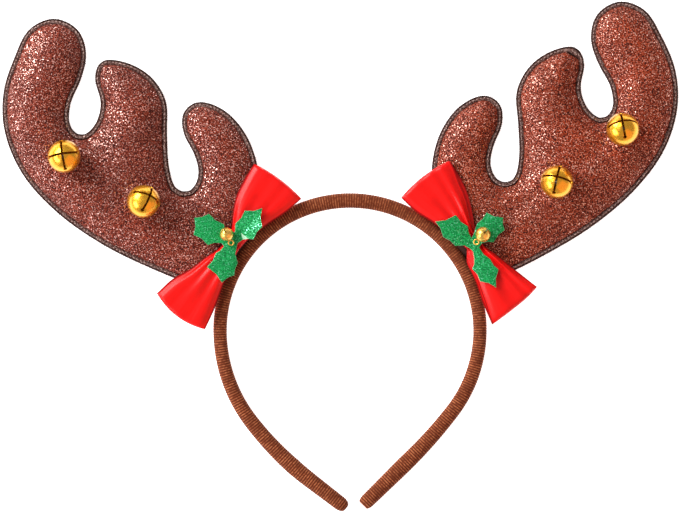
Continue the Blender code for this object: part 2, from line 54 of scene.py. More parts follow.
MM = 0.001
BAND_DEPTH = 9.0 * MM
BAND_SQUARENESS = 2.5
RIB_PITCH = 1.25 * MM
RIB_SWELL = 1.035
RIB_SIDES = 28
TIP_REACH = 4.2 * MM
TIP_END_SHARE = 0.3
CROWN_RADIUS = 65.0 * MM

# As the solid hoop: arcs of radius and turn from the crown down each side, then a straight leg
BAND_ARCS = {
    "left": ((CROWN_RADIUS, 90.0), (74.5 * MM, 37.5), (160.0 * MM, 15.0)),
    "right": ((CROWN_RADIUS, 90.0), (66.0 * MM, 37.5), (230.0 * MM, 8.0)),
}
BAND_LEGS = {"left": 23.0 * MM, "right": 34.0 * MM}
BAND_WIDTHS = (
    # distance from the crown, width
    (0.0, 7.5),
    (60.0, 7.2),
    (105.0, 6.8),
    (135.0, 7.2),
    (160.0, 7.7),
    (182.0, 8.3),
    (212.0, 7.3),
)
# The rib colour is painted light on the crests and the groove colour is painted shade between them. The
# middle colour is the yarn's own.
KNIT_RIB_LIT_COLOUR = (0.42, 0.138, 0.055)
KNIT_MIDDLE_COLOUR = (0.26, 0.064, 0.023)
KNIT_GROOVE_SHADE_COLOUR = (0.105, 0.021, 0.007)
KNIT_SHEEN_COLOUR = (0.75, 0.42, 0.26)
RIB_WANDER = 4.0
YARN_RELIEF = 0.25 * MM
HOOP_STEPS = 200


def pick_only(*pieces):
    bpy.ops.object.select_all(action="DESELECT")
    for piece in pieces:
        piece.select_set(True)
    bpy.context.view_layer.objects.active = pieces[-1]


def bake_place(piece):
    pick_only(piece)
    bpy.ops.object.transform_apply(location=True, rotation=True, scale=True)


def add_modifier(piece, kind, **settings):
    """A modifier that is applied at once."""
    pick_only(piece)
    made = piece.modifiers.new(kind.title(), kind)
    for setting, value in settings.items():
        setattr(made, setting, value)
    bpy.ops.object.modifier_apply(modifier=made.name)


def subdivided(piece, levels):
    add_modifier(piece, "SUBSURF", levels=levels, render_levels=levels)


def edit_mesh(piece, *steps):
    """Edit-mode operators on the whole piece, one after another."""
    pick_only(piece)
    bpy.ops.object.mode_set(mode="EDIT")
    bpy.ops.mesh.select_all(action="SELECT")
    for step in steps:
        step()
    bpy.ops.object.mode_set(mode="OBJECT")


def smooth_shaded(piece, sharp=60.0):
    pick_only(piece)
    bpy.ops.object.shade_smooth_by_angle(angle=math.radians(sharp), keep_sharp_edges=False)


def finished(piece, name, finish, slot, *nodes):
    """Names a piece, gives it its finish, and hands it over in place of its plain solids."""
    piece.name = name
    piece.data.name = name
    piece.data.materials.clear()
    piece.data.materials.append(finish)
    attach(piece, "root")
    if nodes:
        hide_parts(*nodes)
    return piece


def between(rows, at):
    """The value at a distance, straight between the rows of a table."""
    for low, high in zip(rows, rows[1:]):
        if at <= high[0]:
            share = max(at - low[0], 0.0) / (high[0] - low[0])
            return low[1] + (high[1] - low[1]) * share
    return rows[-1][1]


def eased(value):
    value = min(max(value, 0.0), 1.0)
    return value * value * (3.0 - 2.0 * value)


def heading(angle):
    return Vector((math.cos(angle), math.sin(angle)))


def band_length(side):
    return BAND_LEGS[side] + sum(radius * math.radians(turn) for radius, turn in BAND_ARCS[side])


def band_point(side, distance):
    place = Vector((0.0, 0.0))
    angle = 0.0
    left = distance
    for radius, turn in BAND_ARCS[side]:
        swept = min(left / radius, math.radians(turn))
        centre = place + radius * heading(angle - math.pi / 2)
        place = centre + radius * heading(angle + math.pi / 2 - swept)
        angle -= swept
        left -= radius * swept
    place = place + left * heading(angle)
    return Vector((-place.x, place.y)) if side == "left" else place


def new_material(name, colour, roughness, metallic=0.0):
    made = bpy.data.materials.new(name)
    made.use_nodes = True
    shader = made.node_tree.nodes["Principled BSDF"]
    shader.inputs["Base Color"].default_value = (*colour, 1.0)
    shader.inputs["Roughness"].default_value = roughness
    shader.inputs["Metallic"].default_value = metallic
    return made, made.node_tree, shader


def add_node(tree, kind, links=(), **settings):
    """A shader node with its settings, and with (socket to fill, what fills it) links or values."""
    node = tree.nodes.new(kind)
    for setting, value in settings.items():
        setattr(node, setting, value)
    for socket, source in links:
        if isinstance(source, bpy.types.NodeSocket):
            tree.links.new(source, node.inputs[socket])
        else:
            node.inputs[socket].default_value = source
    return node


def maths(tree, operation, first, second=0.0, third=0.0):
    links = [(0, first), (1, second), (2, third)]
    return add_node(tree, "ShaderNodeMath", links, operation=operation).outputs[0]


def ranged(tree, value, low, high, to_low=0.0, to_high=1.0):
    """Eases a value from one range to another."""
    links = [("Value", value), ("From Min", low), ("From Max", high)]
    links += [("To Min", to_low), ("To Max", to_high)]
    return add_node(tree, "ShaderNodeMapRange", links, interpolation_type="SMOOTHSTEP").outputs["Result"]


def mixed(tree, share, first, second, blend="MIX"):
    """A colour mix. A plain colour is given as three numbers."""
    node = tree.nodes.new("ShaderNodeMix")
    node.data_type = "RGBA"
    node.blend_type = blend
    for number, source in ((0, share), (6, first), (7, second)):
        if isinstance(source, bpy.types.NodeSocket):
            tree.links.new(source, node.inputs[number])
        else:
            node.inputs[number].default_value = source if number == 0 else (*source, 1.0)
    return node.outputs[2]


def speckle(tree, where, scale, detail=2.0):
    """Soft noise, from 0 to 1, with this many specks to the metre."""
    links = [("Vector", where), ("Scale", scale), ("Detail", detail)]
    return add_node(tree, "ShaderNodeTexNoise", links).outputs["Fac"]


def object_place(tree):
    return add_node(tree, "ShaderNodeTexCoord").outputs["Object"]


def bumped(tree, shader, height, strength, distance):
    links = [("Height", height), ("Strength", strength), ("Distance", distance)]
    tree.links.new(add_node(tree, "ShaderNodeBump", links).outputs[0], shader.inputs["Normal"])


def new_piece(name, shape):
    piece = bpy.data.objects.new(name, shape)
    bpy.context.scene.collection.objects.link(piece)
    return piece


# One rib is a short ring, swollen in its middle. Copies of it in a row make the straight tube
bpy.ops.object.select_all(action="DESELECT")
bpy.ops.mesh.primitive_cylinder_add(
    vertices=RIB_SIDES,
    radius=BAND_DEPTH / 2,
    depth=RIB_PITCH,
    end_fill_type="NOTHING",
    rotation=(0.0, math.pi / 2, 0.0),
)
band = bpy.context.object
bake_place(band)
edit_mesh(
    band,
    lambda: bpy.ops.mesh.bisect(plane_co=(-RIB_PITCH / 4, 0, 0), plane_no=(1, 0, 0)),
    lambda: bpy.ops.mesh.select_all(action="SELECT"),
    lambda: bpy.ops.mesh.bisect(plane_co=(0, 0, 0), plane_no=(1, 0, 0)),
    lambda: bpy.ops.mesh.select_all(action="SELECT"),
    lambda: bpy.ops.mesh.bisect(plane_co=(RIB_PITCH / 4, 0, 0), plane_no=(1, 0, 0)),
)
for vertex in band.data.vertices:
    bulge = 1 + (RIB_SWELL - 1) * math.cos(vertex.co.x / RIB_PITCH * math.pi)
    vertex.co.y *= bulge / RIB_SWELL
    vertex.co.z *= bulge / RIB_SWELL
left_length = band_length("left")
right_length = band_length("right")
ribs = int((left_length + right_length) / RIB_PITCH)
add_modifier(band, "ARRAY", count=ribs, use_merge_vertices=True, merge_threshold=0.05 * MM)

# The straight tube takes the band's changing width, flatter sides and rounded tips
straight = band.data.attributes.new("straight", "FLOAT_VECTOR", "POINT")
for vertex in band.data.vertices:
    along = vertex.co.x + RIB_PITCH / 2 - left_length
    angle = math.atan2(vertex.co.z, vertex.co.y)
    size = math.hypot(vertex.co.y, vertex.co.z) / (BAND_DEPTH / 2)
    power = 2 / BAND_SQUARENESS
    across = math.copysign(abs(math.cos(angle)) ** power, math.cos(angle))
    upward = math.copysign(abs(math.sin(angle)) ** power, math.sin(angle))
    from_tip = min(along + left_length, right_length - along)
    rounding = math.sqrt(max(1 - (1 - min(from_tip / TIP_REACH, 1)) ** 2, 0.0))
    share = TIP_END_SHARE + (1 - TIP_END_SHARE) * rounding
    width = between(BAND_WIDTHS, abs(along) / MM) * MM
    straight.data[vertex.index].vector = (along, across, upward)
    vertex.co = (
        vertex.co.x + RIB_PITCH / 2,
        across * size * share * width / 2,
        BAND_DEPTH / 2 * (1 + upward * size * share),
    )
edit_mesh(
    band,
    lambda: bpy.ops.mesh.select_all(action="DESELECT"),
    lambda: bpy.ops.mesh.select_non_manifold(),
    lambda: bpy.ops.mesh.edge_face_add(),
)

# Then it is bent round the hoop
hoop = bpy.data.curves.new("hoop", "CURVE")
hoop.dimensions = "3D"
hoop.twist_mode = "Z_UP"
route = [band_point("left", left_length * (1 - i / HOOP_STEPS)) for i in range(HOOP_STEPS)]
route += [band_point("right", right_length * i / HOOP_STEPS) for i in range(HOOP_STEPS + 1)]
spline = hoop.splines.new("POLY")
spline.points.add(len(route) - 1)
for point, place in zip(spline.points, route):
    point.co = (place.x, place.y, 0.0, 1.0)
hoop_object = new_piece("hoop", hoop)
add_modifier(band, "CURVE", object=hoop_object, deform_axis="POS_X")
bpy.data.objects.remove(hoop_object)
smooth_shaded(band, 75.0)

knit, tree, shader = new_material("ribbed_knit", KNIT_RIB_LIT_COLOUR, 0.9)
run = add_node(tree, "ShaderNodeAttribute", attribute_name="straight").outputs["Vector"]
run_parts = add_node(tree, "ShaderNodeSeparateXYZ", [(0, run)])
phase = maths(tree, "MULTIPLY", run_parts.outputs[0], 2 * math.pi / RIB_PITCH)
phase = maths(tree, "ADD", phase, maths(tree, "MULTIPLY", speckle(tree, run, 160.0), RIB_WANDER))
rib = ranged(tree, maths(tree, "COSINE", phase), -1.0, 0.7, 1.0, 0.0)
# Each rib is a row of yarn loops, some lying higher and some sunk in. Raised crests are painted lighter,
# and grooves and sunk loops are painted darker. This is painted light and shade on the relief, which the
# bump also gives.
place = object_place(tree)
yarn = speckle(tree, place, 780.0)
tuft = speckle(tree, place, 260.0)
shown_rib = maths(tree, "MULTIPLY", rib, ranged(tree, yarn, 0.36, 0.60, 0.25, 1.0))
# Painted shade in the grooves and sunk loops, and painted light on the rib crests, over the yarn's own
# middle tone
colour = mixed(tree, ranged(tree, shown_rib, 0.0, 0.4), KNIT_GROOVE_SHADE_COLOUR, KNIT_MIDDLE_COLOUR)
colour = mixed(tree, ranged(tree, shown_rib, 0.35, 0.95), colour, KNIT_RIB_LIT_COLOUR)
colour = mixed(tree, ranged(tree, tuft, 0.35, 0.62, 0.55, 0.0), colour, KNIT_GROOVE_SHADE_COLOUR)
tree.links.new(colour, shader.inputs["Base Color"])
height = maths(tree, "ADD", shown_rib, maths(tree, "MULTIPLY", yarn, 0.6))
bumped(tree, shader, height, 0.5, YARN_RELIEF)
shader.inputs["Sheen Weight"].default_value = 0.07
shader.inputs["Sheen Roughness"].default_value = 0.45
shader.inputs["Sheen Tint"].default_value = (*KNIT_SHEEN_COLOUR, 1.0)
shader.inputs["Specular IOR Level"].default_value = 0.15
finished(band, "band_cover", knit, "band_cover", "headband")


# Antlers
# Two faces of cloth covered in fine red-brown glitter, sewn together along a flat hem and stuffed
# with fibre. The hem's raw edges stay outside, with a line of stitches all the way round.

SEAM_HEIGHT = 5.5 * MM
SEAM_THICKNESS = 1.3 * MM
SEAM_SPREAD = 1.5
PAD_VOXEL = 1.5 * MM
# The stuffing is a cloth simulation, run ten times as large because it is steadier so
PAD_SCALE = 10.0
PAD_PRESSURE = 5.0
PAD_FRAMES = 20
PAD_STIFFNESS = 12.0
PAD_BENDING = 0.4
PAD_CAP = 1.6 * MM
SEAM_HOLD = 1.4 * MM
RIM_STRETCH = 5.0 * MM
LUMP_SPAN = 16 * MM
LUMP_HEIGHT = 0.35 * MM
SHAPED_ABOVE = 3 * MM
BELL_CLEARANCE = 0.15 * MM
HEM_STEP = 1.1 * MM
HEM_TUCK = 1.1 * MM
HEM_PINCH = 0.25
STITCH_PITCH = 1.9 * MM
STITCH_LENGTH = 1.35 * MM
STITCH_THICKNESS = 0.42 * MM
STITCH_SHARE = 0.42
STITCH_LIFT = 0.08 * MM
STITCH_WOBBLE = 0.12
FRAY_ROOT = 0.4 * MM
FLAKE_SIZE = 0.62 * MM
HEM_FLAKE_SIZE = 0.6 * MM
# The two antlers are one cloth. The right one's brighter, more orange tones are painted light.
SIDE_LIT_GLITTER_TONES = {
    # side: the cloth's dark gaps, its middling flakes, its pale flakes
    "left": ((0.026, 0.005, 0.005), (0.265, 0.031, 0.010), (0.97, 0.64, 0.56)),
    "right": ((0.030, 0.005, 0.004), (0.355, 0.038, 0.006), (0.97, 0.60, 0.48)),
}
GLINT_TINT = (1.0, 0.70, 0.62)
HEM_COLOUR = (0.13, 0.066, 0.056)
HEM_DARK = (0.055, 0.020, 0.017)
HEM_PALE = (0.52, 0.37, 0.33)
RIM_COLOUR = (0.020, 0.008, 0.007)
# Painted shade in the groove where the hem runs into the seam
SEAM_GROOVE_SHADE = (0.012, 0.003, 0.002)
STITCH_COLOUR = (0.50, 0.35, 0.31)
STITCH_DARK = tuple(share * 0.45 for share in STITCH_COLOUR)
FRAY_DARK = (0.20, 0.13, 0.11)
FRAY_PALE = (0.66, 0.60, 0.54)
BELL_RADIUS = 8.25 * MM


def vector_maths(tree, operation, *links):
    return add_node(tree, "ShaderNodeVectorMath", links, operation=operation).outputs[0]


def glitter_group():
    """Small flakes on a dark ground. Each has its own tone, shine and tilt."""
    group = bpy.data.node_groups.new("glitter", "ShaderNodeTree")
    for name, kind, direction in (
        ("Flake Size", "NodeSocketFloat", "INPUT"),
        ("Tilt", "NodeSocketFloat", "INPUT"),
        ("Dark", "NodeSocketColor", "INPUT"),
        ("Middle", "NodeSocketColor", "INPUT"),
        ("Pale", "NodeSocketColor", "INPUT"),
        ("Pale Share", "NodeSocketFloat", "INPUT"),
        ("Color", "NodeSocketColor", "OUTPUT"),
        ("Roughness", "NodeSocketFloat", "OUTPUT"),
        ("Metallic", "NodeSocketFloat", "OUTPUT"),
        ("Normal", "NodeSocketVector", "OUTPUT"),
    ):
        group.interface.new_socket(name, in_out=direction, socket_type=kind)
    start = add_node(group, "NodeGroupInput").outputs
    place = object_place(group)
    scale = maths(group, "DIVIDE", 1.0, start["Flake Size"])
    links = [("Vector", place), ("Scale", scale), ("Randomness", 1.0)]
    flakes = add_node(group, "ShaderNodeTexVoronoi", links).outputs["Color"]
    chance = add_node(group, "ShaderNodeSeparateColor", [(0, flakes)])
    grain = speckle(group, place, scale, 1.0)
    # Each flake leans its own way
    centred = vector_maths(group, "SUBTRACT", (0, flakes), (1, (0.5, 0.5, 0.5)))
    lean = vector_maths(group, "SCALE", (0, centred), ("Scale", start["Tilt"]))
    surface = add_node(group, "ShaderNodeNewGeometry").outputs["Normal"]
    summed = vector_maths(group, "ADD", (0, surface), (1, lean))
    normal = vector_maths(group, "NORMALIZE", (0, summed))
    # From the dark gaps between flakes, through middling flakes, to the pale share
    tone = mixed(group, ranged(group, grain, 0.40, 0.54), start["Dark"], start["Middle"])
    past = maths(group, "SUBTRACT", 0.72, start["Pale Share"])
    pale = ranged(group, grain, past, maths(group, "ADD", past, 0.10))
    tone = mixed(group, pale, tone, start["Pale"])
    worn = ranged(group, speckle(group, place, 55.0, 3.0), 0.3, 0.7, 0.3, 0.0)
    tone = mixed(group, worn, tone, start["Dark"])
    rough = ranged(group, grain, 0.42, 0.60, 0.90, 0.24)
    shine = maths(group, "MULTIPLY", pale, ranged(group, chance.outputs[0], 0.0, 1.0, 0.4, 1.0))
    links = [("Color", tone), ("Roughness", rough), ("Metallic", shine), ("Normal", normal)]
    add_node(group, "NodeGroupOutput", links)
    return group


glitter = glitter_group()


def glitter_material(name, flake, tilt, dark, middle, pale, pale_share, glint, glint_tint):
    made, tree, shader = new_material(name, middle, 0.4)
    shader.inputs["Specular IOR Level"].default_value = glint
    shader.inputs["Specular Tint"].default_value = (*glint_tint, 1.0)
    links = [("Flake Size", flake), ("Tilt", tilt), ("Pale Share", pale_share)]
    links += [("Dark", (*dark, 1.0)), ("Middle", (*middle, 1.0)), ("Pale", (*pale, 1.0))]
    node = add_node(tree, "ShaderNodeGroup", node_tree=glitter)
    for socket, value in links:
        node.inputs[socket].default_value = value
    tree.links.new(node.outputs["Color"], shader.inputs["Base Color"])
    for socket in ("Roughness", "Metallic", "Normal"):
        tree.links.new(node.outputs[socket], shader.inputs[socket])
    return made


def mottled(tree, shader, scale, dark, pale, ends=None, detail=2.0):
    """Colours a material in soft specks of two tones."""
    specks = speckle(tree, object_place(tree), scale, detail)
    share = ranged(tree, specks, *ends) if ends else specks
    tree.links.new(mixed(tree, share, dark, pale), shader.inputs["Base Color"])
    return specks


# One glitter for each antler, whose different tones are painted light
antler_glitter = {
    side: glitter_material(f"antler_glitter_{side}", FLAKE_SIZE, 0.55, *tones, 0.13, 0.40, GLINT_TINT)
    for side, tones in SIDE_LIT_GLITTER_TONES.items()
}
hem_cloth = glitter_material(
    "hem_cloth", HEM_FLAKE_SIZE, 0.6, HEM_DARK, HEM_COLOUR, HEM_PALE, 0.19, 0.3, GLINT_TINT
)
# The hem is painted darker where it runs into the seam, as painted shade in the groove there, and it is
# darker along its cut edge
tree = hem_cloth.node_tree
shader = tree.nodes["Principled BSDF"]
sunk = add_node(tree, "ShaderNodeAttribute", attribute_name="sunk").outputs["Fac"]
colour = shader.inputs["Base Color"].links[0].from_socket
colour = mixed(tree, ranged(tree, sunk, 0.05, 0.30, 1.0, 0.0), colour, RIM_COLOUR)
colour = mixed(tree, ranged(tree, sunk, 0.58, 0.88), colour, SEAM_GROOVE_SHADE)
tree.links.new(colour, shader.inputs["Base Color"])
stitch_thread, tree, shader = new_material("stitch_thread", STITCH_COLOUR, 0.7)
mottled(tree, shader, 700.0, STITCH_DARK, STITCH_COLOUR, (0.3, 0.7))
fray_fibre, tree, shader = new_material("fray_fibre", FRAY_PALE, 0.8)
mottled(tree, shader, 300.0, FRAY_DARK, FRAY_PALE, (0.35, 0.65))


def solid_copy(node):
    """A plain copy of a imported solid, its loose triangles joined."""
    piece = new_piece(node + "_copy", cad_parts[node].data.copy())
    piece.data.materials.clear()
    edit_mesh(piece, lambda: bpy.ops.mesh.remove_doubles(threshold=0.001 * MM))
    for name in [layer.name for layer in piece.data.uv_layers]:
        piece.data.uv_layers.remove(piece.data.uv_layers[name])
    return piece


def hem_edges(piece):
    """The hem's outer edge in order, each point with the seam's nearest, then all of the seam's."""
    mesh = bmesh.new()
    mesh.from_mesh(piece.data)
    wall = {v for face in mesh.faces if abs(face.normal.z) < 0.2 for v in face.verts}
    wall = {v for v in wall if abs(abs(v.co.z - SEAM_HEIGHT) - SEAM_THICKNESS / 2) < 0.05 * MM}
    hem_faces = [face for face in mesh.faces if any(v in wall for v in face.verts)]
    seam = {v for face in hem_faces for v in face.verts if v not in wall}
    upper = {v for v in wall if v.co.z > SEAM_HEIGHT}
    walk = [min(upper, key=lambda v: (v.co.x, v.co.y))]
    while True:
        ahead = [
            edge.other_vert(walk[-1])
            for edge in walk[-1].link_edges
            if edge.other_vert(walk[-1]) in upper and edge.other_vert(walk[-1]) not in walk
        ]
        if not ahead:
            break
        walk.append(min(ahead, key=lambda v: (v.co - walk[-1].co).length))
    outer = [v.co.copy() for v in walk]
    seam = sorted((v.co for v in seam), key=lambda p: (p.x, p.y, p.z))
    inner = [min(seam, key=lambda p, v=v: (p.xy - v.co.xy).length).copy() for v in walk]
    is_hem = [face.index for face in hem_faces]
    mesh.free()
    return outer, inner, [point.copy() for point in seam], is_hem


def kept_faces(piece, numbers, keep):
    """Deletes these faces, or keeps only these."""
    chosen = set(numbers)
    pick_only(piece)
    bpy.ops.object.mode_set(mode="EDIT")
    bpy.ops.mesh.select_mode(type="FACE")
    bpy.ops.object.mode_set(mode="OBJECT")
    for polygon in piece.data.polygons:
        polygon.select = (polygon.index in chosen) != keep
    bpy.ops.object.mode_set(mode="EDIT")
    bpy.ops.mesh.delete(type="FACE")
    bpy.ops.mesh.select_mode(type="VERT")
    bpy.ops.object.mode_set(mode="OBJECT")


def closed_across(piece):
    """Joins the two open edges of a shell."""
    edit_mesh(
        piece,
        lambda: bpy.ops.mesh.select_all(action="DESELECT"),
        lambda: bpy.ops.mesh.select_non_manifold(),
        lambda: bpy.ops.mesh.bridge_edge_loops(),
    )


def nearest_finder(points):
    """Finds the nearest of these points, seen from above."""
    tree = KDTree(len(points))
    for number, point in enumerate(points):
        tree.insert(Vector((point.x, point.y, 0)), number)
    tree.balance()
    return lambda spot: points[tree.find(Vector((spot.x, spot.y, 0)))[1]]


def closed_curve(points, pitch):
    """Points at even steps along a smooth closed line through the given ones."""
    fine = []
    count = len(points)
    for i in range(count):
        a, b, c, d = (points[(i + j) % count] for j in (-1, 0, 1, 2))
        for step in range(8):
            t = step / 8
            square = (2 * a - 5 * b + 4 * c - d) * t * t
            cube = (3 * b - a - 3 * c + d) * t * t * t
            fine.append(0.5 * (2 * b + (c - a) * t + square + cube))
    lengths = [0.0]
    for i in range(len(fine)):
        lengths.append(lengths[-1] + (fine[(i + 1) % len(fine)] - fine[i]).length)
    steps = round(lengths[-1] / pitch)
    spaced = []
    at = 0
    for step in range(steps):
        wanted = lengths[-1] * step / steps
        while lengths[at + 1] < wanted:
            at += 1
        share = (wanted - lengths[at]) / (lengths[at + 1] - lengths[at])
        spaced.append(fine[at].lerp(fine[(at + 1) % len(fine)], share))
    return spaced


def blown_up(pad, outline):
    """Fills a closed cloth shell with air while its seam is held, as stuffing does."""
    still = [vertex.co.copy() for vertex in pad.data.vertices]
    to_seam = nearest_finder(outline)
    held = pad.vertex_groups.new(name="held")
    for vertex in pad.data.vertices:
        near = (to_seam(vertex.co) - vertex.co).xy.length
        lying = vertex.co.z < 0.4 * MM
        if near < SEAM_HOLD or lying:
            held.add([vertex.index], 1.0, "REPLACE")
    pad.data.transform(Matrix.Scale(PAD_SCALE, 4))
    cloth = pad.modifiers.new("Cloth", "CLOTH")
    cloth.settings.quality = 5
    cloth.settings.use_pressure = True
    cloth.settings.uniform_pressure_force = PAD_PRESSURE
    cloth.settings.tension_stiffness = PAD_STIFFNESS
    cloth.settings.compression_stiffness = PAD_STIFFNESS
    cloth.settings.bending_stiffness = PAD_BENDING
    cloth.settings.vertex_group_mass = "held"
    cloth.settings.effector_weights.gravity = 0.0
    cloth.collision_settings.use_collision = False
    cloth.collision_settings.use_self_collision = False
    scene = bpy.context.scene
    cloth.point_cache.frame_start = 1
    cloth.point_cache.frame_end = PAD_FRAMES
    for number in range(1, PAD_FRAMES + 1):
        scene.frame_set(number)
    pick_only(pad)
    bpy.ops.object.modifier_apply(modifier=cloth.name)
    scene.frame_set(1)
    pad.data.transform(Matrix.Scale(1 / PAD_SCALE, 4))
    for vertex, before in zip(pad.data.vertices, still):
        moved = vertex.co - before
        if moved.length > PAD_CAP:
            vertex.co = before + moved * (PAD_CAP / moved.length)
        vertex.co.z = max(vertex.co.z, 0.1 * MM)
    pad.vertex_groups.clear()


def drawn_out(pad, outline):
    """Brings the pad's rim to the seam wherever it lies short of it or past it."""
    spots = [vertex.co.copy() for vertex in pad.data.vertices]
    to_rim = nearest_finder([spot for spot in spots if abs(spot.z - SEAM_HEIGHT) < SEAM_THICKNESS])
    gaps = {}
    for place in outline:
        near = to_rim(place)
        gaps[near.x, near.y] = (place - near).xy
    to_gap = nearest_finder([Vector((*near, 0)) for near in gaps])
    for spot in spots:
        near = to_gap(spot)
        share = 1 - eased((spot - near).xy.length / RIM_STRETCH)
        spot.xy += gaps[near.x, near.y] * share
    pad.data.vertices.foreach_set("co", [value for spot in spots for value in spot])
    pad.data.update()


def bell_centre(side, row):
    x, y = BELLS[f"{side}_{row}"][:2]
    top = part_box(f"bell_{side}_{row}")[1].z
    return Vector((x * MM, y * MM, top - BELL_RADIUS))


# The large bells' places, also used for the dents that they press in the cloth
BELLS = {
    # name: x, y, lean, direction of the lean, turn of the slots
    "left_upper": (-142.6, 22.0, 11.0, 122.0, 9.0),
    "left_lower": (-103.0, -0.5, 33.0, 42.0, 66.0),
    "right_upper": (136.1, 35.5, 31.0, 95.0, 10.0),
    "right_lower": (103.2, 9.2, 19.0, 90.0, 77.0),
}

# The threads of the bells also draw the cloth down in a soft valley between them
VALLEYS = {
    # side: points along it, in mm
    "left": ((-143.0, 22.0), (-122.0, 11.0), (-103.0, -1.0), (-88.0, -10.0), (-72.0, -17.0)),
    "right": ((136.0, 35.0), (121.0, 23.0), (103.0, 9.0), (90.0, 0.0), (78.0, -8.0)),
}
VALLEY_DEPTH = 1.3 * MM
VALLEY_WIDTH = 4.5 * MM

# One stitch: a short rounded bar of thread
bpy.ops.object.select_all(action="DESELECT")
bpy.ops.mesh.primitive_uv_sphere_add(
    segments=8, ring_count=6, radius=0.5, rotation=(0.0, math.pi / 2, 0.0)
)
stitch = bpy.context.object
bake_place(stitch)
stitch.data.transform(Matrix.Diagonal((STITCH_LENGTH, STITCH_THICKNESS, STITCH_THICKNESS, 1.0)))


def mesh_piece(name, built):
    """A piece from a bmesh, which is freed."""
    shape = bpy.data.meshes.new(name)
    built.to_mesh(shape)
    built.free()
    return new_piece(name, shape)


def along_line(model, points, name, lift, wobble, chance):
    """Copies of a small model, each laid along a closed line, as one mesh."""
    copies = bmesh.new()
    for i, point in enumerate(points):
        ahead = points[(i + 1) % len(points)] - points[i - 1]
        turn = math.atan2(ahead.y, ahead.x) + chance.uniform(-wobble, wobble)
        put = Matrix.Translation(point + Vector((0, 0, lift))) @ Matrix.Rotation(turn, 4, "Z")
        put = put @ Matrix.Diagonal((chance.uniform(0.6, 1.15), chance.uniform(0.7, 1.3), 1.0, 1.0))
        part = model.data.copy()
        part.transform(put)
        copies.from_mesh(part)
        bpy.data.meshes.remove(part)
    piece = mesh_piece(name, copies)
    smooth_shaded(piece)
    return piece


def frayed_fibres(points, centres, name, chance):
    """Fine curled threads that stand out from the hem's raw edge."""
    fibres = bmesh.new()
    for point, inward in zip(points, centres):
        for _ in range(3):
            out = (point - inward).xy.normalized()
            turn = Matrix.Rotation(chance.uniform(-1.1, 1.1), 2)
            out = turn @ out
            length = chance.uniform(0.3, 1.1) * MM
            width = chance.uniform(0.05, 0.09) * MM
            level = chance.uniform(-0.5, 0.5) * SEAM_THICKNESS
            root = Vector((*(point.xy - out * FRAY_ROOT), SEAM_HEIGHT + level))
            bend = Vector((chance.uniform(-0.3, 0.3), chance.uniform(-0.3, 0.3), 0)) * length
            tip = root + Vector((*(out * length), chance.uniform(-0.2, 0.3) * length))
            middle = root.lerp(tip, 0.5) + bend
            side = Vector((-out.y, out.x, 0)) * width
            up = Vector((0, 0, width))
            rings = []
            for spot, size in ((root, 1.0), (middle, 0.8)):
                corners = [(side * a + up * b) * size for a, b in ((1, -0.6), (-1, -0.6), (0, 1))]
                rings.append([fibres.verts.new(spot + corner) for corner in corners])
            end = fibres.verts.new(tip)
            for i in range(3):
                j = (i + 1) % 3
                fibres.faces.new((rings[0][i], rings[0][j], rings[1][j], rings[1][i]))
                fibres.faces.new((rings[1][i], rings[1][j], end))
            fibres.faces.new(rings[0][::-1])
    bmesh.ops.recalc_face_normals(fibres, faces=fibres.faces)
    return mesh_piece(name, fibres)


